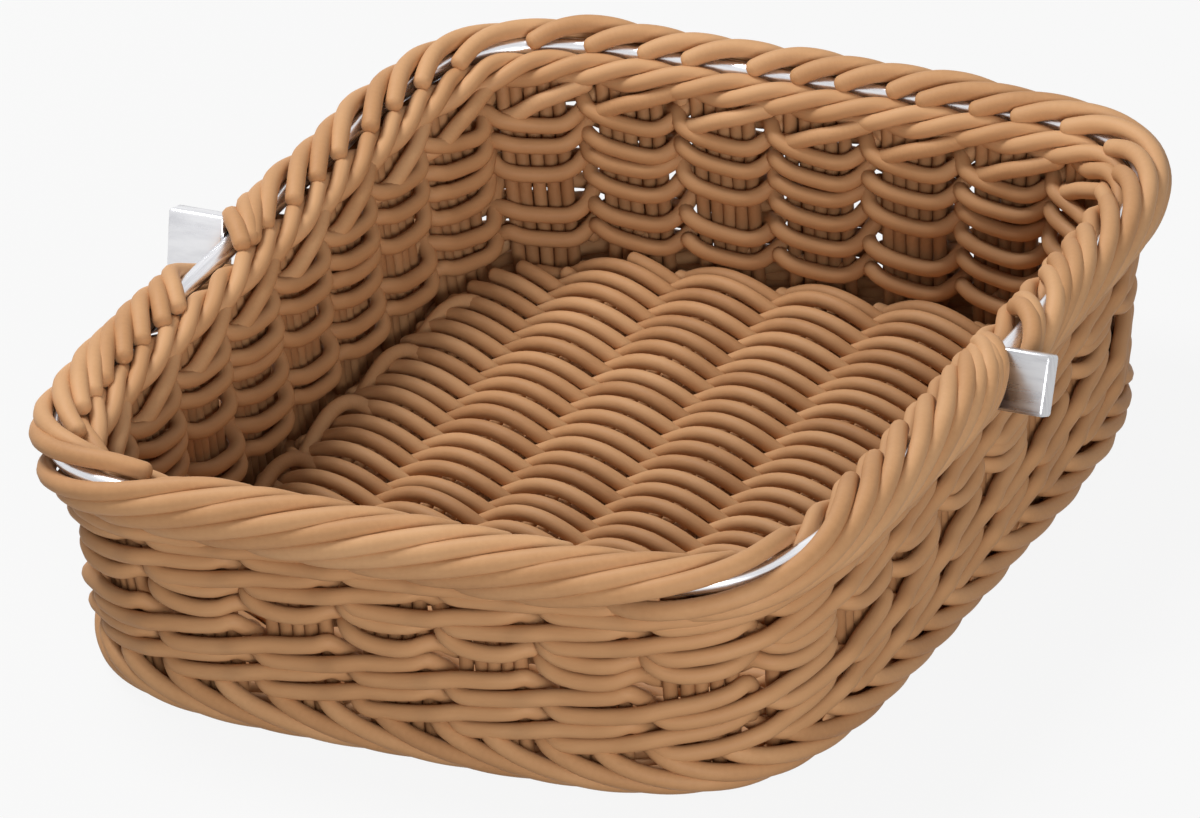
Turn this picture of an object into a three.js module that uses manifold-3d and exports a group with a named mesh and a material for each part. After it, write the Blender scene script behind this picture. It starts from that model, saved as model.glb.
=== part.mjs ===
import * as THREE from 'three';
import { mergeVertices } from 'three/addons/utils/BufferGeometryUtils.js';
import Module from 'manifold-3d';

// All sizes are real ones in millimetres. Z is up, the front is towards -Y.
const wireHalfWidth = 124;
const wireHalfDepth = 152;
const wireDiameter = 6;
const cordDiameter = 5;
const stakeDiameter = 4.6;
const stakePitch = 4.8;
const stakesPerBundle = 5;
const bundleCount = 30;
const rowSlant = 0.4;
const rowGap = 0.22;
const strandBulge = 3;
const wallLean = 3;
const rimSquareness = 6.8;
const baseSquareness = 4.8;
const rollDiameter = 11;
const rollInset = 1.2;
const wireRise = 3;
const wrapStrands = 42;
const wrapStart = -70;
const wrapEnd = 150;
const footHeight = 11.3;
const footBulge = 9.5;
const footSoleInset = 2;
const footShoulder = 4;
const floorClearance = 0.6;
const floorBundles = 6;
const floorBundlePitch = 34.4;
const floorSkew = 0.07;
const floorRowPitch = 9;
const floorRowValley = 2.4;
const floorDip = 4;
const lugHeight = 18;
const lugThickness = 7;
const lugLength = 17.5;
const lugDrop = 2.4;
const lugTilt = 20;
const lugBevel = 0.8;
const ribDepth = 0.8;
const gap = 0.3;

// Levels and offsets that follow from the sizes above.
const cordRadius = cordDiameter / 2;
const wireRadius = wireDiameter / 2;
const stakeRadius = stakeDiameter / 2;
const rollRadius = rollDiameter / 2;
const crestOffset = stakeRadius + gap + cordRadius;
const cordSides = 5;
const cordDrop = cordRadius * Math.cos(Math.PI / cordSides);
const layer = cordRadius + cordDrop + rowGap;
const rowsBottom = footHeight + gap;
const lowRow = rowsBottom + cordRadius + layer / 2 + rowSlant;
const middleRow = lowRow + 4.5 * layer + rowSlant;
const rowsTop = 2 * middleRow - rowsBottom;
const bundleHalf = ((stakesPerBundle - 1) / 2) * stakePitch + stakeRadius;
const rollHeight = rowsTop + gap + rollRadius;
const wireHeight = rollHeight + wireRise;
const seatAngle = Math.asin(wireRise / (rollRadius + gap + wireRadius));
const wireOffset = (rollRadius + gap + wireRadius) * Math.cos(seatAngle) - rollInset;
const wallInside = crestOffset + cordRadius;
const floorInset = wallInside + gap;
const floorThickness = 2 * cordDiameter + stakeDiameter;

const cordMaterial = new THREE.MeshStandardMaterial({ color: 0xb98558, roughness: 0.7, metalness: 0 });
const stakeMaterial = new THREE.MeshStandardMaterial({ color: 0xa8764c, roughness: 0.75, metalness: 0 });
const metalMaterial = new THREE.MeshStandardMaterial({ color: 0xc9c9cc, roughness: 0.3, metalness: 1 });

const wasm = await Module();
wasm.setup();

// A bowed rectangle in plan, read by its fraction of the way round from +X towards +Y.
function planCurve(halfWidth, halfDepth, squareness) {
  const steps = 1440;
  const points = [];
  const lengths = [0];
  for (let i = 0; i <= steps; i += 1) {
    const turn = (2 * Math.PI * i) / steps;
    const across = Math.abs(Math.cos(turn) / halfWidth) ** squareness;
    const along = Math.abs(Math.sin(turn) / halfDepth) ** squareness;
    const reach = (across + along) ** (-1 / squareness);
    points.push(new THREE.Vector2(reach * Math.cos(turn), reach * Math.sin(turn)));
    if (i > 0) lengths.push(lengths[i - 1] + points[i].distanceTo(points[i - 1]));
  }
  const length = lengths[steps];
  const at = (fraction) => {
    const target = (fraction - Math.floor(fraction)) * length;
    let low = 0;
    let high = steps;
    while (high - low > 1) {
      const middle = (low + high) >> 1;
      if (lengths[middle] <= target) low = middle;
      else high = middle;
    }
    const share = (target - lengths[low]) / (lengths[high] - lengths[low]);
    return points[low].clone().lerp(points[high], share);
  };
  const normal = (fraction) => {
    const p = at(fraction);
    const x = Math.sign(p.x) * Math.abs(p.x / halfWidth) ** (squareness - 1) / halfWidth;
    const y = Math.sign(p.y) * Math.abs(p.y / halfDepth) ** (squareness - 1) / halfDepth;
    return new THREE.Vector2(x, y).normalize();
  };
  return { length, at, normal };
}

const topWidth = wireHalfWidth - wireOffset;
const topDepth = wireHalfDepth - wireOffset;
const topCurve = planCurve(topWidth, topDepth, rimSquareness);
const baseCurve = planCurve(topWidth - wallLean, topDepth - wallLean, baseSquareness);

// The middle of the wall is a ruled surface between the base curve and the rim curve.
function wallNormal(fraction, z) {
  return baseCurve.normal(fraction).lerp(topCurve.normal(fraction), z / wireHeight).normalize();
}

function wallPoint(fraction, z, offset) {
  const p = baseCurve.at(fraction).lerp(topCurve.at(fraction), z / wireHeight);
  p.addScaledVector(wallNormal(fraction, z), offset);
  return new THREE.Vector3(p.x, p.y, z);
}

function wallLength(z) {
  return THREE.MathUtils.lerp(baseCurve.length, topCurve.length, z / wireHeight);
}

// Closed body from positions and triangles, turned so that its faces look outwards.
function body(positions, triangles) {
  let volume = 0;
  for (const [a, b, c] of triangles) {
    volume += positions[a].dot(positions[b].clone().cross(positions[c]));
  }
  const index = triangles.flatMap(([a, b, c]) => (volume < 0 ? [a, c, b] : [a, b, c]));
  const geometry = new THREE.BufferGeometry();
  geometry.setAttribute('position', new THREE.Float32BufferAttribute(positions.flatMap((p) => p.toArray()), 3));
  geometry.setIndex(index);
  geometry.computeVertexNormals();
  return geometry;
}

// Joins equal loops into a tube. An open tube is capped with the given flat contour.
function sweep(loops, capContour, otherDiagonal) {
  const sides = loops[0].length;
  const spans = capContour ? loops.length - 1 : loops.length;
  const triangles = [];
  for (let i = 0; i < spans; i += 1) {
    const here = i * sides;
    const next = ((i + 1) % loops.length) * sides;
    for (let j = 0; j < sides; j += 1) {
      const k = (j + 1) % sides;
      if (otherDiagonal) triangles.push([here + j, next + j, here + k], [next + j, next + k, here + k]);
      else triangles.push([here + j, next + j, next + k], [here + j, next + k, here + k]);
    }
  }
  if (capContour) {
    const last = (loops.length - 1) * sides;
    const winding = THREE.ShapeUtils.area(capContour);
    for (const [a, b, c] of THREE.ShapeUtils.triangulateShape(capContour, [])) {
      const ab = capContour[b].clone().sub(capContour[a]);
      const ac = capContour[c].clone().sub(capContour[a]);
      const turn = ab.cross(ac) * winding > 0 ? [a, b, c] : [a, c, b];
      triangles.push(turn, [last + turn[2], last + turn[1], last + turn[0]]);
    }
  }
  return body(loops.flat(), triangles);
}

// Ring round the wall whose section is given as offset and height at each step.
function wallRing(steps, section, otherDiagonal) {
  const loops = [];
  for (let i = 0; i < steps; i += 1) {
    loops.push(section(i).map(([offset, z]) => wallPoint(i / steps, z, offset)));
  }
  return sweep(loops, null, otherDiagonal);
}

function toManifold(geometry) {
  const plain = geometry.clone();
  plain.deleteAttribute('normal');
  plain.deleteAttribute('uv');
  const merged = mergeVertices(plain, 1e-4);
  return new wasm.Manifold(new wasm.Mesh({
    numProp: 3,
    vertProperties: new Float32Array(merged.attributes.position.array),
    triVerts: new Uint32Array(merged.index.array),
  }));
}

function fromManifold(solid) {
  const mesh = solid.getMesh();
  const geometry = new THREE.BufferGeometry();
  geometry.setAttribute('position', new THREE.BufferAttribute(new Float32Array(mesh.vertProperties), 3));
  geometry.setIndex(new THREE.BufferAttribute(new Uint32Array(mesh.triVerts), 1));
  geometry.computeVertexNormals();
  return geometry;
}

const group = new THREE.Group();
group.name = 'display_basket';

function addPiece(name, geometry, material) {
  const mesh = new THREE.Mesh(geometry, material);
  mesh.name = name;
  group.add(mesh);
}

// Scalloped outline of a row of stakes lying side by side: place along the row, then offset.
function bundleContour() {
  const valley = 0.6 * stakeRadius;
  const face = [];
  for (let i = 0; i < stakesPerBundle; i += 1) {
    const along = (i - (stakesPerBundle - 1) / 2) * stakePitch;
    face.push([along, stakeRadius]);
    if (i < stakesPerBundle - 1) face.push([along + stakePitch / 2, valley]);
  }
  const back = face.map(([along, offset]) => [along, -offset]).reverse();
  return [[-bundleHalf, 0], ...face, [bundleHalf, 0], ...back];
}

const contour = bundleContour();

// Metal rim wire with a flat lug at each side.
const wireSides = 6;
addPiece('rim_wire', wallRing(2 * wrapStrands, () => {
  const loop = [];
  for (let j = 0; j < wireSides; j += 1) {
    const turn = seatAngle + (2 * Math.PI * j) / wireSides;
    loop.push([wireOffset + wireRadius * Math.cos(turn), wireHeight + wireRadius * Math.sin(turn)]);
  }
  return loop;
}), metalMaterial);

function lugGeometry(side) {
  const root = wireHalfWidth + wireRadius + gap;
  const tip = root + lugLength;
  const y = lugThickness / 2;
  const z = lugHeight / 2;
  const outline = [
    [-y, lugBevel - z], [lugBevel - y, -z], [y - lugBevel, -z], [y, lugBevel - z],
    [y, z - lugBevel], [y - lugBevel, z], [lugBevel - y, z], [-y, z - lugBevel],
  ];
  const inset = 1 - lugBevel / y;
  const flat = outline.map(([a, b]) => new THREE.Vector2(a, b));
  const loops = [[root, 1], [tip - lugBevel, 1], [tip, inset]].map(([x, share]) => outline.map(
    ([a, b]) => new THREE.Vector3(side * x, a * share, b - Math.sign(b) * (share < 1 ? lugBevel : 0)),
  ));
  const geometry = sweep(loops, flat);
  geometry.rotateX(-THREE.MathUtils.degToRad(lugTilt));
  geometry.translate(0, 0, wireHeight - lugDrop);
  return geometry;
}

addPiece('right_lug', lugGeometry(1), metalMaterial);
addPiece('left_lug', lugGeometry(-1), metalMaterial);

// Outer wrap of the rim: a ribbed shell laid over the wire, parted at the lugs.
const wrapInner = wireRadius + gap;
const wrapOuter = wrapInner + cordDiameter;
const lugLean = THREE.MathUtils.degToRad(lugTilt);
const lugSpan = lugThickness * Math.cos(lugLean) + lugHeight * Math.sin(lugLean);
const wrapMargin = (lugSpan / 2 + gap) / topCurve.length;

function wrapSection(step) {
  const outerPoints = 7;
  const innerPoints = 4;
  const halfStep = THREE.MathUtils.degToRad((wrapEnd - wrapStart) / (innerPoints - 1) / 2);
  const section = [];
  for (let j = 0; j < outerPoints; j += 1) {
    const turn = THREE.MathUtils.degToRad(THREE.MathUtils.lerp(wrapStart, wrapEnd, j / (outerPoints - 1)));
    const radius = wrapOuter - ((step + j) % 2) * ribDepth;
    section.push([wireOffset + radius * Math.cos(turn), wireHeight + radius * Math.sin(turn)]);
  }
  for (let j = 0; j < innerPoints; j += 1) {
    const turn = THREE.MathUtils.degToRad(THREE.MathUtils.lerp(wrapEnd, wrapStart, j / (innerPoints - 1)));
    const radius = wrapInner / Math.cos(halfStep);
    section.push([wireOffset + radius * Math.cos(turn), wireHeight + radius * Math.sin(turn)]);
  }
  return section;
}

function wrapGeometry(from) {
  const loops = [];
  for (let i = 0; i <= wrapStrands; i += 1) {
    const share = THREE.MathUtils.clamp(i / (2 * wrapStrands), wrapMargin, 0.5 - wrapMargin);
    loops.push(wrapSection(i).map(([offset, z]) => wallPoint(from + share, z, offset)));
  }
  return sweep(loops, wrapSection(0).map(([offset, z]) => new THREE.Vector2(offset, z)));
}

addPiece('rim_wrap_back', wrapGeometry(0), cordMaterial);
addPiece('rim_wrap_front', wrapGeometry(0.5), cordMaterial);

// Rope-like roll on the inner side of the rim.
const rollSides = 6;
addPiece('rim_inner_roll', wallRing(2 * wrapStrands, (step) => {
  const loop = [];
  for (let j = 0; j < rollSides; j += 1) {
    const turn = seatAngle + (2 * Math.PI * j) / rollSides;
    const radius = rollRadius - ((step + j) % 2) * ribDepth;
    loop.push([-rollInset + radius * Math.cos(turn), rollHeight + radius * Math.sin(turn)]);
  }
  return loop;
}), cordMaterial);

// Foot border with a flat underside and diagonal ribs on its outer face.
addPiece('foot_border', wallRing(3 * bundleCount, (step) => {
  const rib = (j) => ((step + j) % 2) * ribDepth;
  return [
    [-wallInside, 0],
    [footBulge - footSoleInset, 0],
    [footBulge - rib(0), 0.22 * footHeight],
    [footBulge - rib(1), 0.48 * footHeight],
    [footBulge - footShoulder / 3 - rib(2), 0.74 * footHeight],
    [footBulge - footShoulder, footHeight],
    [-wallInside, footHeight],
  ];
}, true), cordMaterial);

// Upright stake bundles, one slab of stakes each, following the bend of the wall.
const bundlePlan = contour.map(([along, offset]) => new THREE.Vector2(along, offset));
for (let k = 0; k < bundleCount; k += 1) {
  const centre = (k + 0.5) / bundleCount;
  const loops = [rowsBottom, rowsTop].map((z) => contour.map(
    ([along, offset]) => wallPoint(centre + along / wallLength(z), z, offset),
  ));
  const number = String(k + 1).padStart(2, '0');
  addPiece(`stake_bundle_${number}`, sweep(loops, bundlePlan), stakeMaterial);
}

// How far the stakes of a bundle bow out beyond a straight cord laid across them.
function bundleBow(centre, z) {
  const reach = bundleHalf / wallLength(z);
  const start = wallPoint(centre - reach, z, 0);
  const chord = wallPoint(centre + reach, z, 0).sub(start);
  const outward = new THREE.Vector3(chord.y, -chord.x, 0).normalize();
  let bow = 0;
  for (let i = 1; i < 10; i += 1) {
    const p = wallPoint(centre + reach * (i / 5 - 1), z, 0).sub(start);
    bow = Math.max(bow, p.dot(outward));
  }
  return bow;
}

// One cord of a wall row. The passes say, bundle after bundle, on which side of the stakes it runs,
// how far out it bulges and how high it lies where it meets and leaves the bundle.
function weaverGeometry(z, shift, passes) {
  const path = [];
  for (let k = 0; k < bundleCount; k += 1) {
    const centre = (k + 0.5) / bundleCount;
    const reach = (bundleHalf + gap) / wallLength(z);
    const { outside, bulge, lift } = passes[(k + shift) % passes.length];
    const offset = outside ? crestOffset + bundleBow(centre, z) : -crestOffset;
    const start = wallPoint(centre - reach, z, offset + bulge[0]);
    const end = wallPoint(centre + reach, z, offset + bulge[1]);
    start.z += lift[0];
    end.z += lift[1];
    path.push(start, end);
  }
  const loops = path.map((p, i) => {
    const into = p.clone().sub(path[(i + path.length - 1) % path.length]).normalize();
    const away = path[(i + 1) % path.length].clone().sub(p).normalize();
    const tangent = into.clone().add(away).normalize();
    const side = new THREE.Vector3(tangent.y, -tangent.x, 0).normalize();
    const up = side.clone().cross(tangent).normalize();
    const mitre = 1 / Math.max(0.7, tangent.dot(away));
    const loop = [];
    for (let j = 0; j < cordSides; j += 1) {
      const turn = Math.PI / 2 + (2 * Math.PI * j) / cordSides;
      const q = p.clone().addScaledVector(side, cordRadius * mitre * Math.cos(turn));
      loop.push(q.addScaledVector(up, cordRadius * Math.sin(turn)));
    }
    return loop;
  });
  return sweep(loops, null);
}

// Three-strand rows: each cord runs outside two bundles, rising, then inside one.
const half = layer / 2;
const slantPasses = [
  { outside: true, bulge: [0, strandBulge], lift: [-half - rowSlant, rowSlant - half] },
  { outside: true, bulge: [strandBulge, 0], lift: [half - rowSlant, half + rowSlant] },
  { outside: false, bulge: [0, 0], lift: [half - rowSlant, rowSlant - half] },
];
// Plain cords of the middle band: outside one bundle, inside the next.
const plainPasses = [
  { outside: true, bulge: [0, 0], lift: [0, 0] },
  { outside: false, bulge: [0, 0], lift: [0, 0] },
];
const slantRows = [lowRow, lowRow + 2 * layer, 2 * middleRow - lowRow - 2 * layer, 2 * middleRow - lowRow];
slantRows.forEach((z, row) => {
  ['a', 'b', 'c'].forEach((mark, shift) => {
    addPiece(`slant_row_${row + 1}_${mark}`, weaverGeometry(z, shift, slantPasses), cordMaterial);
  });
});
[-1, 0, 1].forEach((level, i) => {
  const z = middleRow + level * layer;
  addPiece(`plain_row_${i + 1}`, weaverGeometry(z, i % 2, plainPasses), cordMaterial);
});

// Upper face of the floor: rows of cords that hump over the bundles and dip between them.
function floorRelief(bottom, top) {
  const reachX = Math.ceil((2 * wireHalfWidth) / floorBundlePitch);
  const reachY = Math.ceil((2 * wireHalfDepth) / floorRowPitch);
  const across = 2 * reachX;
  const along = 2 * reachY;
  const positions = [];
  const triangles = [];
  const at = (level, i, j) => (level * (across + 1) + i) * (along + 1) + j;
  for (const level of [0, 1]) {
    for (let i = 0; i <= across; i += 1) {
      for (let j = 0; j <= along; j += 1) {
        const hump = (i - reachX + floorBundles + 1) % 2 === 0;
        const ridge = (j - reachY) % 2 === 0;
        const valley = ridge ? 0 : floorRowValley / (hump ? 1 : 3);
        const z = level === 0 ? bottom : top - (hump ? 0 : floorDip) - valley;
        const y = ((j - reachY) / 2) * floorRowPitch;
        positions.push(new THREE.Vector3(((i - reachX) / 2) * floorBundlePitch - floorSkew * y, y, z));
      }
    }
  }
  const quad = (a, b, c, d) => triangles.push([a, b, c], [a, c, d]);
  for (let i = 0; i < across; i += 1) {
    for (let j = 0; j < along; j += 1) {
      quad(at(1, i, j), at(1, i + 1, j), at(1, i + 1, j + 1), at(1, i, j + 1));
      quad(at(0, i, j), at(0, i, j + 1), at(0, i + 1, j + 1), at(0, i + 1, j));
    }
    quad(at(0, i, 0), at(0, i + 1, 0), at(1, i + 1, 0), at(1, i, 0));
    quad(at(0, i + 1, along), at(0, i, along), at(1, i, along), at(1, i + 1, along));
  }
  for (let j = 0; j < along; j += 1) {
    quad(at(0, 0, j + 1), at(0, 0, j), at(1, 0, j), at(1, 0, j + 1));
    quad(at(0, across, j), at(0, across, j + 1), at(1, across, j + 1), at(1, across, j));
  }
  return toManifold(body(positions, triangles));
}

// Straight bar under the floor's rows, slightly askew as the bundles lie in the real floor.
function floorBar(x, section) {
  const loops = [-wireHalfDepth, wireHalfDepth].map((y) => section.map(
    ([along, offset]) => new THREE.Vector3(x + along - floorSkew * y, y, floorMiddle + offset),
  ));
  return toManifold(sweep(loops, section.map(([along, offset]) => new THREE.Vector2(along, offset))));
}

// Woven floor with a tunnel for each base stake bundle.
const floorSteps = 72;
const floorLevels = [floorClearance, floorClearance + floorThickness];
const floorMiddle = (floorLevels[0] + floorLevels[1]) / 2;
const floorOutline = [];
for (let i = 0; i < floorSteps; i += 1) {
  const fraction = i / floorSteps;
  floorOutline.push(baseCurve.at(fraction).addScaledVector(baseCurve.normal(fraction), -floorInset));
}
const floorPrism = toManifold(sweep(
  floorLevels.map((z) => floorOutline.map((p) => new THREE.Vector3(p.x, p.y, z))),
  floorOutline,
));
let floorPlate = floorPrism.intersect(floorRelief(-floorThickness, floorLevels[1]));
const roomWidth = bundleHalf + gap;
const roomHeight = stakeRadius + gap;
const room = [[-roomWidth, -roomHeight], [roomWidth, -roomHeight], [roomWidth, roomHeight], [-roomWidth, roomHeight]];
for (let k = 0; k < floorBundles; k += 1) {
  const x = (k - (floorBundles - 1) / 2) * floorBundlePitch;
  const stakes = floorBar(x, contour).intersect(floorPrism);
  addPiece(`base_stakes_${k + 1}`, fromManifold(stakes), stakeMaterial);
  floorPlate = floorPlate.subtract(floorBar(x, room));
}
addPiece('floor_weave', fromManifold(floorPlate), cordMaterial);

export default group;
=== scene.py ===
import math
import random
from bisect import bisect_right

import bpy
from mathutils import Matrix, Vector


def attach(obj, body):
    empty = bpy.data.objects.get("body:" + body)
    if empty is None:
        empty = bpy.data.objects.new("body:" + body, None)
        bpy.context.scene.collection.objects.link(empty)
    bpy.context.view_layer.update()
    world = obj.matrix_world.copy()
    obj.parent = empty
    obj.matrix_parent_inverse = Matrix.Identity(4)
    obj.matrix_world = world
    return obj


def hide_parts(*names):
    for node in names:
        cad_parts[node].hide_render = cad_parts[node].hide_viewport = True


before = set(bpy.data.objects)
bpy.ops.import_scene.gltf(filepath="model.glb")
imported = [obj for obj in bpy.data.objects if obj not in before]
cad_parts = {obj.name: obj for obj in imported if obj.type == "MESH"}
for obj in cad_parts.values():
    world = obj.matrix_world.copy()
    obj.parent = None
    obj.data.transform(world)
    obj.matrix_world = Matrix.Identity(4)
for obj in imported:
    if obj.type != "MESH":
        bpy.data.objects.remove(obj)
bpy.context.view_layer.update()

scene = bpy.context.scene
bpy.ops.object.select_all(action="DESELECT")
dice = random.Random(41)
mm = 0.001

# outline and levels of the basket, in millimetres, as in the CAD part
basket = {
    "wireHalfWidth": 124,
    "wireHalfDepth": 152,
    "wireOffset": 7.07,      # wire from the middle of the wall
    "wireHeight": 74.43,
    "wallLean": 3,
    "rimSquareness": 6.8,
    "baseSquareness": 4.8,
    "bundleCount": 30,
    "stakesPerBundle": 5,
    "stakePitch": 4.8,
}


def planCurve(halfWidth, halfDepth, squareness):
    steps = 1440
    points = []
    lengths = [0.0]
    for i in range(steps + 1):
        turn = 2 * math.pi * i / steps
        across = abs(math.cos(turn) / halfWidth) ** squareness
        along = abs(math.sin(turn) / halfDepth) ** squareness
        reach = (across + along) ** (-1 / squareness)
        points.append(Vector((reach * math.cos(turn), reach * math.sin(turn))))
        if i:
            lengths.append(lengths[-1] + (points[i] - points[i - 1]).length)

    def at(fraction):
        target = (fraction % 1.0) * lengths[-1]
        low = min(bisect_right(lengths, target) - 1, steps - 1)
        share = (target - lengths[low]) / (lengths[low + 1] - lengths[low])
        return points[low].lerp(points[low + 1], share)

    def normal(fraction):
        p = at(fraction)
        x = math.copysign(abs(p.x / halfWidth) ** (squareness - 1), p.x) / halfWidth
        y = math.copysign(abs(p.y / halfDepth) ** (squareness - 1), p.y) / halfDepth
        return Vector((x, y)).normalized()

    return {"at": at, "normal": normal, "length": lengths[-1]}


topWidth = basket["wireHalfWidth"] - basket["wireOffset"]
topDepth = basket["wireHalfDepth"] - basket["wireOffset"]
topCurve = planCurve(topWidth, topDepth, basket["rimSquareness"])
baseCurve = planCurve(topWidth - basket["wallLean"], topDepth - basket["wallLean"], basket["baseSquareness"])


def wallPoint(fraction, z, offset):
    # fractions run round the wall from the right side by way of the back
    share = z / basket["wireHeight"]
    place = baseCurve["at"](fraction).lerp(topCurve["at"](fraction), share)
    outward = baseCurve["normal"](fraction).lerp(topCurve["normal"](fraction), share).normalized()
    place = place + outward * offset
    return Vector((place.x, place.y, z))


def wallLength(z):
    share = z / basket["wireHeight"]
    return baseCurve["length"] * (1 - share) + topCurve["length"] * share


def wobble(size):
    return dice.gauss(0, 1) * size


def throughPoints(controls, steps):
    # smooth path through control points of any length
    path = []
    last = len(controls) - 1
    for i in range(last):
        p0, p1 = controls[max(i - 1, 0)], controls[i]
        p2, p3 = controls[i + 1], controls[min(i + 2, last)]
        for j in range(steps):
            t = j / steps
            path.append([
                0.5 * (2 * b + (c - a) * t + (2 * a - 5 * b + 4 * c - d) * t * t
                       + (3 * b - a - 3 * c + d) * t ** 3)
                for a, b, c, d in zip(p0, p1, p2, p3)
            ])
    path.append(list(controls[-1]))
    return path


def cordPiece(name, diameter, openRuns=(), loops=(), roundness=4, twist="Z_UP"):
    # every run of points in millimetres becomes one round cord, open ones with domed ends
    curve = bpy.data.curves.new(name, "CURVE")
    curve.dimensions = "3D"
    curve.twist_mode = twist
    curve.bevel_depth = diameter / 2 * mm
    curve.bevel_resolution = roundness
    curve.use_fill_caps = True
    dome = [(0.0, 1.0), (0.3, 0.93), (0.55, 0.76), (0.72, 0.5), (0.8, 0.2)]  # reach and size, in radii
    cords = [(run, False) for run in openRuns] + [(run, True) for run in loops]
    for run, closed in cords:
        places = [(p, 1.0) for p in run]
        if not closed:
            first = (run[0] - run[1]).normalized() * diameter / 2
            final = (run[-1] - run[-2]).normalized() * diameter / 2
            places = [(run[0] + first * reach, size) for reach, size in reversed(dome)] + places[1:-1]
            places += [(run[-1] + final * reach, size) for reach, size in dome]
        spline = curve.splines.new("POLY")
        spline.points.add(len(places) - 1)
        for point, (place, size) in zip(spline.points, places):
            point.co = (place.x * mm, place.y * mm, place.z * mm, 1)
            point.radius = size
        spline.use_cyclic_u = closed
    piece = bpy.data.objects.new(name, curve)
    scene.collection.objects.link(piece)
    bpy.ops.object.select_all(action="DESELECT")
    piece.select_set(True)
    bpy.context.view_layer.objects.active = piece
    bpy.ops.object.convert(target="MESH")
    piece = bpy.context.view_layer.objects.active
    bpy.ops.object.shade_smooth()
    piece.select_set(False)
    return piece


def placePiece(piece, material, nodes):
    piece.data.materials.clear()
    piece.data.materials.append(material)
    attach(piece, "root")
    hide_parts(*nodes)


def newMaterial(name):
    material = bpy.data.materials.new(name)
    material.use_nodes = True
    return material, material.node_tree.nodes, material.node_tree.links


def addNode(nodes, kind, inputs):
    node = nodes.new(kind)
    for socket, value in inputs.items():
        node.inputs[socket].default_value = value
    return node


# matte plastic cord: tone from cord to cord, long faint streaks, fine grain
cordFinish = {
    "light": (0.61, 0.345, 0.17, 1),
    "middle": (0.51, 0.268, 0.122, 1),
    "deep": (0.38, 0.185, 0.079, 1),
    "stops": (0.2, 0.52, 0.85),      # tones of the deep, middle and light colour
    "ownTone": (0.34, 0.02),         # spread from cord to cord, least tone
    "patchTone": 0.42,
    "streakTone": 0.22,
    "streak": {"Scale": 1.0, "Detail": 3.0},
    "streakScale": (60, 9, 1),
    "patch": {"Scale": 38, "Detail": 2.0},
    "grain": {"Scale": 1700, "Detail": 2.0},
    "roughness": {"To Min": 0.5, "To Max": 0.68},
    "streakBump": {"Strength": 0.12, "Distance": 0.0004},
    "grainBump": {"Strength": 0.15, "Distance": 0.0002},
    "specular": 0.2,
}


def cordMaterial(name, shade):
    material, nodes, links = newMaterial(name)
    shader = nodes["Principled BSDF"]
    shader.inputs["Specular IOR Level"].default_value = cordFinish["specular"]
    place = nodes.new("ShaderNodeTexCoord")
    island = nodes.new("ShaderNodeNewGeometry")
    stretch = addNode(nodes, "ShaderNodeMapping", {"Scale": cordFinish["streakScale"]})
    links.new(place.outputs["UV"], stretch.inputs["Vector"])
    streak = addNode(nodes, "ShaderNodeTexNoise", cordFinish["streak"])
    links.new(stretch.outputs["Vector"], streak.inputs["Vector"])
    patch = addNode(nodes, "ShaderNodeTexNoise", cordFinish["patch"])
    links.new(place.outputs["Object"], patch.inputs["Vector"])
    grain = addNode(nodes, "ShaderNodeTexNoise", cordFinish["grain"])
    links.new(place.outputs["Object"], grain.inputs["Vector"])

    # tone = cord's own share + patches + streaks
    spread, least = cordFinish["ownTone"]
    tone = addNode(nodes, "ShaderNodeMath", {1: spread, 2: least + shade})
    tone.operation = "MULTIPLY_ADD"
    links.new(island.outputs["Random Per Island"], tone.inputs[0])
    for noise, weight in ((patch, cordFinish["patchTone"]), (streak, cordFinish["streakTone"])):
        added = addNode(nodes, "ShaderNodeMath", {1: weight})
        added.operation = "MULTIPLY_ADD"
        links.new(noise.outputs["Fac"], added.inputs[0])
        links.new(tone.outputs["Value"], added.inputs[2])
        tone = added
    ramp = nodes.new("ShaderNodeValToRGB")
    deepStop, middleStop, lightStop = cordFinish["stops"]
    ramp.color_ramp.elements[0].position = deepStop
    ramp.color_ramp.elements[0].color = cordFinish["deep"]
    ramp.color_ramp.elements[1].position = lightStop
    ramp.color_ramp.elements[1].color = cordFinish["light"]
    ramp.color_ramp.elements.new(middleStop).color = cordFinish["middle"]
    links.new(tone.outputs["Value"], ramp.inputs["Fac"])
    links.new(ramp.outputs["Color"], shader.inputs["Base Color"])

    rough = addNode(nodes, "ShaderNodeMapRange", cordFinish["roughness"])
    links.new(streak.outputs["Fac"], rough.inputs["Value"])
    links.new(rough.outputs["Result"], shader.inputs["Roughness"])
    streakBump = addNode(nodes, "ShaderNodeBump", cordFinish["streakBump"])
    links.new(streak.outputs["Fac"], streakBump.inputs["Height"])
    grainBump = addNode(nodes, "ShaderNodeBump", cordFinish["grainBump"])
    links.new(grain.outputs["Fac"], grainBump.inputs["Height"])
    links.new(streakBump.outputs["Normal"], grainBump.inputs["Normal"])
    links.new(grainBump.outputs["Normal"], shader.inputs["Normal"])
    return material


# drawn metal: fine lines along the wire or the bar
metalFinish = {
    "colours": [(0.3, (0.64, 0.64, 0.67)), (0.62, (0.82, 0.82, 0.84))],  # dull, then bright
    "lines": {"Scale": 1.0, "Detail": 5.0},
    "roughness": {"To Min": 0.18, "To Max": 0.38},
    "bump": {"Strength": 0.25, "Distance": 0.0003},
    "wireLines": (40, 14, 1),
    "lugLines": (60, 900, 60),
    "rightLugPaintedShade": 0.7,    # painted shade: the right lug's face is darker in the photograph, where it reflects darker surroundings
}


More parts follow.
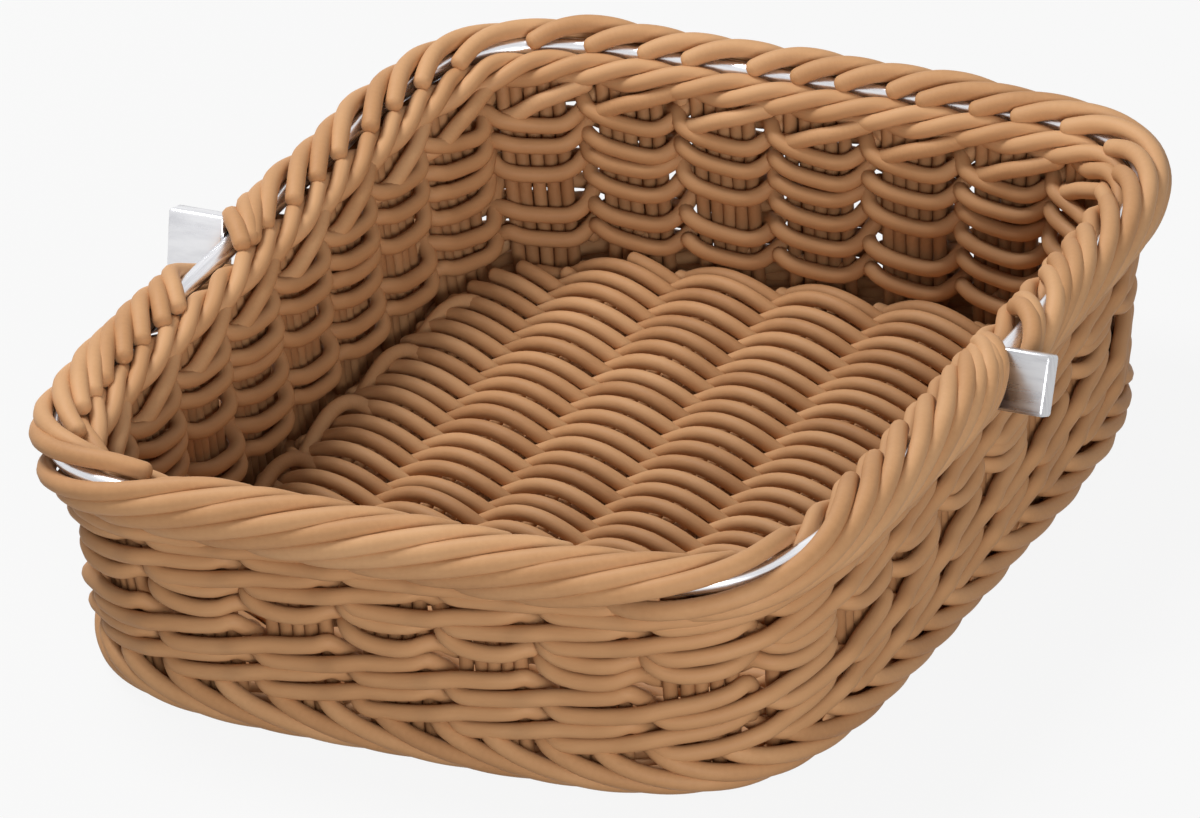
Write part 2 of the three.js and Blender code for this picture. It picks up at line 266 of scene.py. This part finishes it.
def metalMaterial(name, coords, scale, shade=1.0):
    material, nodes, links = newMaterial(name)
    shader = nodes["Principled BSDF"]
    shader.inputs["Metallic"].default_value = 1.0
    place = nodes.new("ShaderNodeTexCoord")
    stretch = addNode(nodes, "ShaderNodeMapping", {"Scale": scale})
    links.new(place.outputs[coords], stretch.inputs["Vector"])
    lines = addNode(nodes, "ShaderNodeTexNoise", metalFinish["lines"])
    links.new(stretch.outputs["Vector"], lines.inputs["Vector"])
    ramp = nodes.new("ShaderNodeValToRGB")
    for element, (position, colour) in zip(ramp.color_ramp.elements, metalFinish["colours"]):
        element.position = position
        element.color = [part * shade for part in colour] + [1]
    links.new(lines.outputs["Fac"], ramp.inputs["Fac"])
    links.new(ramp.outputs["Color"], shader.inputs["Base Color"])
    rough = addNode(nodes, "ShaderNodeMapRange", metalFinish["roughness"])
    links.new(lines.outputs["Fac"], rough.inputs["Value"])
    links.new(rough.outputs["Result"], shader.inputs["Roughness"])
    bump = addNode(nodes, "ShaderNodeBump", metalFinish["bump"])
    links.new(lines.outputs["Fac"], bump.inputs["Height"])
    links.new(bump.outputs["Normal"], shader.inputs["Normal"])
    return material


# second number: how much lighter or deeper than the wall rows
weaverFinish = cordMaterial("weaverCord", 0.0)
# rim wrap and roll lighter than the wall rows: painted light, for the top light falling on the rim
rimPaintedLightFinish = cordMaterial("rimCordPaintedLight", 0.15)
# stakes a little deeper in tone, and deeper still as painted shade in the gaps between the weavers
stakeToneAndPaintedShadeFinish = cordMaterial("stakeCordToneAndPaintedShade", -0.2)
wireFinish = metalMaterial("rimWireMetal", "UV", metalFinish["wireLines"])
lugFinish = {
    # the right lug's metal is darkened as painted shade
    "right": metalMaterial("rightLugMetalPaintedShade", "Object", metalFinish["lugLines"], metalFinish["rightLugPaintedShade"]),
    "left": metalMaterial("leftLugMetal", "Object", metalFinish["lugLines"]),
}
print("finishes ready")

# slanted wall rows: three cords each, outside two bundles and then inside one
slantRows = {
    "levels": [20.0, 30.4, 52.6, 61.0],
    "rise": [1.0, 1.0, 0.92, 0.5],
    "inside": [-3.0, -5.4, -4.6, -5.0],  # height behind the stakes, over the row's level
    "lowest": -4.8,
    "climb": 9.2,
    "period": 3,
    "diameter": 5.1,
}
# plain cords of the middle band: outside one bundle, inside the next
plainRows = {
    "waves": [  # height where the cord comes out, sags, goes in and runs inside
        (40.8, 37.8, 41.6, 34.4),
        (46.4, 42.0, 45.2, 38.2),
        (47.8, 44.4, 47.2, 42.4),
    ],
    "period": 2,
    "diameter": 5.1,
}
weaver = {"samples": 30, "outStray": 0.3, "heightStray": 0.6}


def slantProfile(rise, inside):
    # bundles passed, out from the wall, height over the row's level
    low, span = slantRows["lowest"] * rise, slantRows["climb"] * rise
    return [
        (0.0, 0.2, low + 2.9), (0.1, 3.7, low + 1.2), (0.22, 5.6, low), (0.5, 5.8, low + 0.07 * span),
        (0.76, 6.0, low + 0.22 * span), (1.0, 7.0, low + 0.45 * span), (1.24, 6.0, low + 0.6 * span),
        (1.5, 5.5, low + 0.7 * span), (1.74, 4.9, low + 0.84 * span), (1.87, 3.5, low + 0.94 * span),
        (1.95, 1.2, 0.65 * (low + span) + 0.35 * inside), (2.02, -2.0, inside + 2.6),
        (2.1, -4.5, inside + 0.8), (2.22, -5.6, inside - 0.2), (2.42, -5.8, inside),
        (2.66, -5.8, inside + 1.1), (2.8, -5.4, inside + 2.3), (2.91, -3.8, inside + 3.5),
    ]


def plainProfile(start, dip, end, inside):
    # bundles passed, out from the wall, height
    return [
        (0.0, 0.8, start - 0.3), (0.1, 4.6, start + 0.4 * (dip - start)),
        (0.26, 5.9, dip + 0.15 * (start - dip)), (0.5, 6.0, dip), (0.74, 5.4, dip + 0.3 * (end - dip)),
        (0.9, 3.0, dip + 0.75 * (end - dip)), (0.98, 0.2, 0.75 * end + 0.25 * inside),
        (1.06, -2.8, inside + 2.3), (1.16, -4.9, inside + 0.8), (1.28, -5.6, inside),
        (1.46, -5.8, inside + 0.1), (1.7, -5.7, inside + 1.2), (1.83, -5.1, inside + 2.4),
        (1.93, -3.0, inside + 0.5 * (start - inside)),
    ]


def profileAt(profile, period, place):
    # smooth reading of a repeating profile
    count = len(profile)
    place %= period
    i = max(j for j in range(count) if profile[j][0] <= place)
    near = []
    for j in range(i - 1, i + 3):
        where, out, lift = profile[j % count]
        near.append((where + period * (j // count), out, lift))
    (s0, *p0), (s1, *p1), (s2, *p2), (s3, *p3) = near
    span = s2 - s1
    t = (place - s1) / span
    values = []
    for a, b, c, d in zip(p0, p1, p2, p3):
        slopeIn = (c - a) / (s2 - s0) * span
        slopeOut = (d - b) / (s3 - s1) * span
        values.append(
            (2 * t ** 3 - 3 * t * t + 1) * b + (t ** 3 - 2 * t * t + t) * slopeIn
            + (3 * t * t - 2 * t ** 3) * c + (t ** 3 - t * t) * slopeOut
        )
    return values


def weaverRun(level, shift, profile, period):
    count, samples = basket["bundleCount"], weaver["samples"]
    nudges = [(wobble(weaver["outStray"]), wobble(weaver["heightStray"])) for _ in range(count)]
    run = []
    for i in range(count * samples):
        place = i / samples
        out, lift = profileAt(profile, period, place + shift)
        k = int(place)
        blend = place - k
        pushA, raiseA = nudges[k]
        pushB, raiseB = nudges[(k + 1) % count]
        out += pushA * (1 - blend) + pushB * blend
        lift += raiseA * (1 - blend) + raiseB * blend
        run.append(wallPoint(place / count, level + lift, out))
    return run


for row, level in enumerate(slantRows["levels"]):
    profile = slantProfile(slantRows["rise"][row], slantRows["inside"][row])
    for shift, mark in enumerate("abc"):
        run = weaverRun(level, shift, profile, slantRows["period"])
        piece = cordPiece("wall_slant_%d%s" % (row + 1, mark), slantRows["diameter"], loops=[run])
        placePiece(piece, weaverFinish, ["slant_row_%d_%s" % (row + 1, mark)])
for row, wave in enumerate(plainRows["waves"]):
    run = weaverRun(0, row % plainRows["period"], plainProfile(*wave), plainRows["period"])
    piece = cordPiece("wall_plain_%d" % (row + 1), plainRows["diameter"], loops=[run])
    placePiece(piece, weaverFinish, ["plain_row_%d" % (row + 1)])
print("wall rows woven")

# upright stakes, five to a bundle
uprights = {
    "diameter": 4.3,
    "pitch": 4.4,
    "foot": 5.0,
    "top": 69.0,
    "step": 6.4,
    "leanStray": 0.25,
    "alongStray": 0.1,
    "outStray": 0.12,
}


def stakeRun(centre, place):
    run = []
    lean = wobble(uprights["leanStray"])
    z = uprights["foot"]
    while z <= uprights["top"]:
        along = place * uprights["pitch"] + lean + wobble(uprights["alongStray"])
        run.append(wallPoint(centre + along / wallLength(z), z, wobble(uprights["outStray"])))
        z += uprights["step"]
    return run


bundleHalf = (basket["stakesPerBundle"] - 1) / 2
for k in range(basket["bundleCount"]):
    centre = (k + 0.5) / basket["bundleCount"]
    runs = [stakeRun(centre, i - bundleHalf) for i in range(basket["stakesPerBundle"])]
    piece = cordPiece("wall_stakes_%02d" % (k + 1), uprights["diameter"], runs, roundness=3, twist="MINIMUM")
    placePiece(piece, stakeToneAndPaintedShadeFinish, ["stake_bundle_%02d" % (k + 1)])
print("stakes set")

# metal wire of the rim
rimWire = {"diameter": 6.0, "steps": 320}
wireRun = [
    wallPoint(i / rimWire["steps"], basket["wireHeight"], basket["wireOffset"])
    for i in range(rimWire["steps"])
]
wirePiece = cordPiece("rim_metal_wire", rimWire["diameter"], loops=[wireRun], roundness=6)
placePiece(wirePiece, wireFinish, ["rim_wire"])

# flat metal lugs at the sides
lug = {
    "thickness": 7.0,
    "height": 18.4,
    "root": 127.3,
    "level": 72.0,
    "bevel": 1.1,
    "bevelSegments": 3,
    "smoothAngle": 35,
    "sides": [(1, "right", 15.8, 26), (-1, "left", 19.0, 14)],  # direction, name, length, lean
}
for side, label, length, lean in lug["sides"]:
    middle = side * (lug["root"] + length / 2)
    bpy.ops.mesh.primitive_cube_add(size=1, location=(middle * mm, 0, lug["level"] * mm))
    piece = bpy.context.object
    piece.name = label + "_flat_lug"
    piece.scale = (length * mm, lug["thickness"] * mm, lug["height"] * mm)
    piece.rotation_euler = (-math.radians(lean), 0, 0)
    bpy.ops.object.transform_apply(location=True, rotation=True, scale=True)
    bevel = piece.modifiers.new("edges", "BEVEL")
    bevel.width = lug["bevel"] * mm
    bevel.segments = lug["bevelSegments"]
    bpy.ops.object.modifier_apply(modifier="edges")
    bpy.ops.object.shade_smooth_by_angle(angle=math.radians(lug["smoothAngle"]))
    piece.select_set(False)
    placePiece(piece, lugFinish[label], [label + "_lug"])
print("wire and lugs made")

# outer wrap of the rim: one layer of slanting strands over the wire
rimWrap = {
    "strands": 57,
    "diameter": 5.8,
    "path": [  # along the rim, out from the wall, height
        (0, 2.5, 63.6), (10, 8.2, 65.6), (22, 11.8, 68.4), (36, 13.1, 72.2), (50, 12.6, 76.2),
        (62, 10.4, 79.2), (72, 7.0, 80.4), (80, 3.7, 79.9), (88, 0.6, 77.6),
    ],
    "backPath": [  # hooked over the wire, which shows between the strands
        (0, 2.5, 63.6), (10, 8.2, 65.6), (22, 11.8, 68.4), (36, 13.1, 72.2), (48, 13.0, 76.2),
        (58, 11.8, 79.4), (66, 9.4, 80.9), (72, 6.8, 80.8), (77, 4.4, 79.6), (81, 2.6, 77.8),
    ],
    "steps": 6,
    "crossing": 70,          # along the strand, where it goes over the wire
    "backSpan": (0.2, 0.35),
    "cover": 42,             # along the strand, where it covers the wire from outside
    "openCorners": (0.646, 0.849),  # a strand is missing here and the wire shows
    "middle": 37,
    "lugRoom": 11,
    "lugReach": 42,
    "lugSteepness": 0.4,
    # more strands stand closer beside the right lug and in front of the left one
    "extraStarts": [-52, -44, -37.1, -36.9, -22, -8, 467.3, 484.2, 501.2],
    "stray": 0.25,
    "stretchStray": 0.03,
    "startStray": 0.6,
}


def clearOfLug(start):
    # strands move aside for a lug and stand steeper there
    total = topCurve["length"]
    room, reach, steep = rimWrap["lugRoom"], rimWrap["lugReach"], rimWrap["lugSteepness"]
    for lugArc in (0.0, total / 2):
        along = (lugArc - start - rimWrap["middle"] + total / 2) % total - total / 2
        share = abs(along) / (room + reach)
        if share < 1:
            moved = math.copysign(room + share * reach, along)
            return start + along - moved, steep + (1 - steep) * share
    return start, 1.0


def wrapRun(start):
    total = topCurve["length"]
    push, lift = wobble(rimWrap["stray"]), wobble(rimWrap["stray"])
    stretch = 1 + wobble(rimWrap["stretchStray"])
    low, high = rimWrap["backSpan"]
    path = rimWrap["path"]
    if low < (start + rimWrap["crossing"]) / total % 1 < high:
        path = rimWrap["backPath"]
    start, steepness = clearOfLug(start)
    middle = rimWrap["middle"]
    run = []
    for arc, out, z in throughPoints(path, rimWrap["steps"]):
        arc = start + middle + (arc - middle) * stretch * steepness
        run.append(wallPoint(arc / total, z + lift, out + push))
    return run


wraps = {"front": [], "back": []}
spacing = topCurve["length"] / rimWrap["strands"]
starts = [spacing * number for number in range(rimWrap["strands"])] + rimWrap["extraStarts"]
for start in starts:
    # the strand nearest to an open corner is left out
    start += wobble(rimWrap["startStray"])
    cover = (start + rimWrap["cover"]) / spacing
    if any(abs(cover - corner * rimWrap["strands"]) < 0.5 for corner in rimWrap["openCorners"]):
        continue
    run = wrapRun(start)
    wraps["back" if run[len(run) // 2].y > 0 else "front"].append(run)
for half, runs in wraps.items():
    piece = cordPiece("rim_wrap_strands_" + half, rimWrap["diameter"], runs)
    placePiece(piece, rimPaintedLightFinish, ["rim_wrap_" + half])
print("rim wrapped")

# rope-like roll along the inside of the rim
rimRoll = {
    "strands": 3,
    "turns": 20,
    "diameter": 5.3,
    "radius": 3.0,
    "inset": 1.2,
    "height": 71.4,
    "swell": 0.2,
    "swells": 7,
    "steps": 540,
}


def rollRun(strand):
    run = []
    for i in range(rimRoll["steps"]):
        share = i / rimRoll["steps"]
        turn = 2 * math.pi * (strand / rimRoll["strands"] + rimRoll["turns"] * share)
        swell = rimRoll["swell"] * math.sin(2 * math.pi * rimRoll["swells"] * share + strand)
        out = -rimRoll["inset"] + rimRoll["radius"] * math.cos(turn)
        run.append(wallPoint(share, rimRoll["height"] + rimRoll["radius"] * math.sin(turn) + swell, out))
    return run


# short ends that come down from the roll between the bundles
rollEnds = {
    "path": [  # along the rim, out from the wall, height
        (0, -1.0, 57.4), (-5, -4.8, 59.6), (-12, -6.0, 62.8), (-21, -5.6, 65.6), (-30, -3.2, 68.6),
    ],
    "steps": 5,
    "place": 0.85,           # share of the way to the next bundle
    "startStray": 0.8,
    "heightStray": 0.4,
}


def rollEnd(number):
    start = topCurve["length"] * (number + rollEnds["place"]) / basket["bundleCount"]
    start += wobble(rollEnds["startStray"])
    lift = wobble(rollEnds["heightStray"])
    return [
        wallPoint((start + arc) / topCurve["length"], z + lift, out)
        for arc, out, z in throughPoints(rollEnds["path"], rollEnds["steps"])
    ]


rollPiece = cordPiece(
    "rim_inner_rope",
    rimRoll["diameter"],
    [rollEnd(number) for number in range(basket["bundleCount"])],
    [rollRun(strand) for strand in range(rimRoll["strands"])],
)
placePiece(rollPiece, rimPaintedLightFinish, ["rim_inner_roll"])
print("inner roll laid")

# foot border: strands slant down round the outside and tuck under
foot = {
    "strands": 54,
    "diameter": 5.4,
    "path": [  # along the base, out from the wall, height
        (0, 0.0, 16.2), (3, 3.6, 15.0), (7, 6.2, 12.8), (14, 7.2, 9.8), (22, 7.4, 7.4),
        (31, 7.0, 5.4), (41, 5.6, 3.8), (52, 3.0, 3.0), (66, -1.0, 2.85), (80, -5.0, 3.3),
        (92, -7.6, 5.4), (104, -8.4, 8.6),
    ],
    "steps": 5,
    "startStray": 0.8,
    "outStray": 0.3,
}


def footRun(number):
    start = baseCurve["length"] * number / foot["strands"] + wobble(foot["startStray"])
    push = wobble(foot["outStray"])
    run = []
    for arc, out, z in throughPoints(foot["path"], foot["steps"]):
        run.append(wallPoint((start + arc) / baseCurve["length"], z, out + push))
    return run


footRuns = [footRun(number) for number in range(foot["strands"])]
footPiece = cordPiece("foot_border_strands", foot["diameter"], footRuns)
placePiece(footPiece, weaverFinish, ["foot_border"])
print("foot border laid")

# floor: twined rows across bundles of base stakes
floorWeave = {
    "bundles": 6,
    "bundlePitch": 34.4,
    "skew": 0.07,            # the bundles run slightly askew
    "middle": 7.9,
    "rowPitch": 9.0,
    "diameter": 4.9,
    "crest": 5.6,
    "dip": 4.6,
    "fullness": 0.8,         # below 1 the crests are broader than a cosine
    "twist": 2.3,
    "step": 2.6,
    "leastSteps": 4,
    "smoothings": 2,
    "inset": 8.2,
    "endRoom": 4,            # front and back room left when the rows are counted
    "lastRow": 2.2,          # least room of a row to the front or back
    "crestStray": 0.25,
    "rowStray": 0.25,
    "stakeLevel": 6.6,
    "stakeDiameter": 4.0,
    "stakeEnd": 6,           # keeps the stakes' ends inside the rounded corners
    "stakeSteps": 12,
    "edgeEvery": 4,          # rows between the strands that turn along the side walls
    "edgeRoom": 20,
    "edge": [  # in from the side, along the side, height
        (12, 0.5, 11.5), (7.5, 0.8, 13.2), (4.2, -2, 13.8), (2.6, -8, 13.2), (2.6, -17, 11.2),
        (3.4, -26, 8.8), (4.6, -33, 6.4),
    ],
    "edgeSteps": 4,
    "edgeStray": 0.3,
}
floorWidth = topWidth - basket["wallLean"] - floorWeave["inset"]
floorDepth = topDepth - basket["wallLean"] - floorWeave["inset"]
floorMiddle = (floorWeave["bundles"] - 1) / 2


def floorReach(place, ownHalf, otherHalf):
    n = basket["baseSquareness"]
    return otherHalf * max(1 - abs(place / ownHalf) ** n, 0) ** (1 / n)


def floorRun(y, shift):
    end = floorReach(y, floorDepth, floorWidth)
    count = max(int(2 * end / floorWeave["step"]), floorWeave["leastSteps"])
    crests = [wobble(floorWeave["crestStray"]) for _ in range(floorWeave["bundles"] + 2)]
    run = []
    for i in range(count + 1):
        x = -end + 2 * end * i / count
        place = (x + floorWeave["skew"] * y) / floorWeave["bundlePitch"] + floorMiddle
        k = round(place)
        local = place - k
        side = 1 if (k + shift) % 2 == 0 else -1
        hump = abs(math.cos(math.pi * local)) ** floorWeave["fullness"]
        reach = floorWeave["crest"] if side > 0 else floorWeave["dip"]
        z = floorWeave["middle"] + side * (reach + crests[k + 1]) * hump
        slide = -side * floorWeave["twist"] * math.sin(math.pi * local)
        run.append(Vector((x, y + slide, z)))
    for _ in range(floorWeave["smoothings"]):
        run = [run[0]] + [(a + 2 * b + c) / 4 for a, b, c in zip(run, run[1:], run[2:])] + [run[-1]]
    return run


def edgeRun(y, side):
    lift = wobble(floorWeave["edgeStray"])
    run = []
    for inward, along, z in throughPoints(floorWeave["edge"], floorWeave["edgeSteps"]):
        reach = floorReach(y + side * along, floorDepth, floorWidth)
        run.append(Vector((-side * (reach - inward), y + side * along, z + lift)))
    return run


floorRuns = []
rowTotal = int(2 * (floorDepth - floorWeave["endRoom"]) / floorWeave["rowPitch"])
rowLimit = floorDepth - floorWeave["lastRow"]
for j in range(-1, rowTotal + 2):
    # one more row at each end closes the rounded corners
    y = (j - rowTotal / 2) * floorWeave["rowPitch"]
    y = max(min(y, rowLimit), -rowLimit) + wobble(floorWeave["rowStray"])
    floorRuns += [floorRun(y, 0), floorRun(y, 1)]
    if j % floorWeave["edgeEvery"] == 0 and abs(y) < floorDepth - floorWeave["edgeRoom"]:
        floorRuns += [edgeRun(y, 1), edgeRun(y, -1)]
floorPiece = cordPiece("floor_weavers", floorWeave["diameter"], floorRuns, roundness=3)
placePiece(floorPiece, weaverFinish, ["floor_weave"])

for k in range(floorWeave["bundles"]):
    runs = []
    for i in range(basket["stakesPerBundle"]):
        x = (k - floorMiddle) * floorWeave["bundlePitch"] + (i - bundleHalf) * basket["stakePitch"]
        end = floorReach(abs(x) + floorWeave["stakeEnd"], floorWidth, floorDepth)
        run = []
        for j in range(floorWeave["stakeSteps"] + 1):
            y = -end + 2 * end * j / floorWeave["stakeSteps"]
            run.append(Vector((x - floorWeave["skew"] * y, y, floorWeave["stakeLevel"])))
        runs.append(run)
    piece = cordPiece("floor_stakes_%d" % (k + 1), floorWeave["stakeDiameter"], runs, roundness=2)
    placePiece(piece, stakeToneAndPaintedShadeFinish, ["base_stakes_%d" % (k + 1)])
print("floor woven")

# stage, light and camera
studio = {
    "floorSize": 12,
    "floorColour": (0.35, 0.35, 0.35, 1),
    "floorRoughness": 0.9,
    "floorWhite": 0.9,       # share of plain white where the camera sees the floor
    "lamps": [  # name, power, place, size
        ("keyLight", 24, (-0.8, 0.15, 1.5), 0.6),
        ("fillLight", 18, (1.1, -1.4, 0.5), 0.6),
    ],
    "aim": (0, 0, 0.04),
    "worldLevel": 0.26,
}


def backdropRays(nodes, links):
    # 1 for rays from the camera, a mirror or a lens, else 0
    rays = nodes.new("ShaderNodeLightPath")
    seen = rays.outputs["Is Camera Ray"]
    for kind in ("Is Glossy Ray", "Is Transmission Ray"):
        either = nodes.new("ShaderNodeMath")
        either.operation = "MAXIMUM"
        links.new(seen, either.inputs[0])
        links.new(rays.outputs[kind], either.inputs[1])
        seen = either.outputs["Value"]
    return seen


bpy.ops.mesh.primitive_plane_add(size=studio["floorSize"], location=(0, 0, 0))
ground = bpy.context.object
ground.name = "studio_floor"
groundFinish, nodes, links = newMaterial("studioFloor")
nodes["Principled BSDF"].inputs["Base Color"].default_value = studio["floorColour"]
nodes["Principled BSDF"].inputs["Roughness"].default_value = studio["floorRoughness"]
white = addNode(nodes, "ShaderNodeMath", {1: studio["floorWhite"]})
white.operation = "MULTIPLY"
links.new(backdropRays(nodes, links), white.inputs[0])
glow = nodes.new("ShaderNodeEmission")
mixed = nodes.new("ShaderNodeMixShader")
links.new(white.outputs["Value"], mixed.inputs["Fac"])
links.new(nodes["Principled BSDF"].outputs["BSDF"], mixed.inputs[1])
links.new(glow.outputs["Emission"], mixed.inputs[2])
links.new(mixed.outputs["Shader"], nodes["Material Output"].inputs["Surface"])
ground.data.materials.append(groundFinish)
ground.select_set(False)

world = bpy.data.worlds.new("studioWorld")
world.use_nodes = True
scene.world = world
nodes, links = world.node_tree.nodes, world.node_tree.links
level = addNode(nodes, "ShaderNodeMapRange", {"To Min": studio["worldLevel"], "To Max": 1.0})
links.new(backdropRays(nodes, links), level.inputs["Value"])
nodes["Background"].inputs["Color"].default_value = (1, 1, 1, 1)
links.new(level.outputs["Result"], nodes["Background"].inputs["Strength"])

for name, power, place, size in studio["lamps"]:
    lampData = bpy.data.lights.new(name, "AREA")
    lampData.energy = power
    lampData.size = size
    lamp = bpy.data.objects.new(name, lampData)
    lamp.location = place
    lamp.rotation_euler = (Vector(studio["aim"]) - lamp.location).to_track_quat("-Z", "Y").to_euler()
    scene.collection.objects.link(lamp)

# long lens, slightly rolled, matched to the photograph
view = {
    "azimuth": 28.10,
    "elevation": 28.10,
    "roll": -4.12,
    "distance": 3224.0,
    "target": (-3.86, -2.43, 39.4),
    "focalPixels": 10871.0,
    "frameWidth": 1200.0,
    "sensorWidth": 36.0,
    "farClip": 50.0,
}
azimuth, elevation = math.radians(view["azimuth"]), math.radians(view["elevation"])
turn = Matrix.Rotation(azimuth, 3, "Z") @ Matrix.Rotation(math.pi / 2 - elevation, 3, "X")
turn = turn @ Matrix.Rotation(math.radians(view["roll"]), 3, "Z")
lens = bpy.data.cameras.new("photoCamera")
lens.sensor_fit = "HORIZONTAL"
lens.sensor_width = view["sensorWidth"]
lens.lens = view["focalPixels"] / view["frameWidth"] * lens.sensor_width
lens.clip_end = view["farClip"]
camera = bpy.data.objects.new("photoCamera", lens)
camera.rotation_euler = turn.to_euler()
camera.location = (Vector(view["target"]) + turn @ Vector((0, 0, view["distance"]))) * mm
scene.collection.objects.link(camera)
scene.camera = camera
scene.view_settings.view_transform = "Standard"
print("stage and camera set")
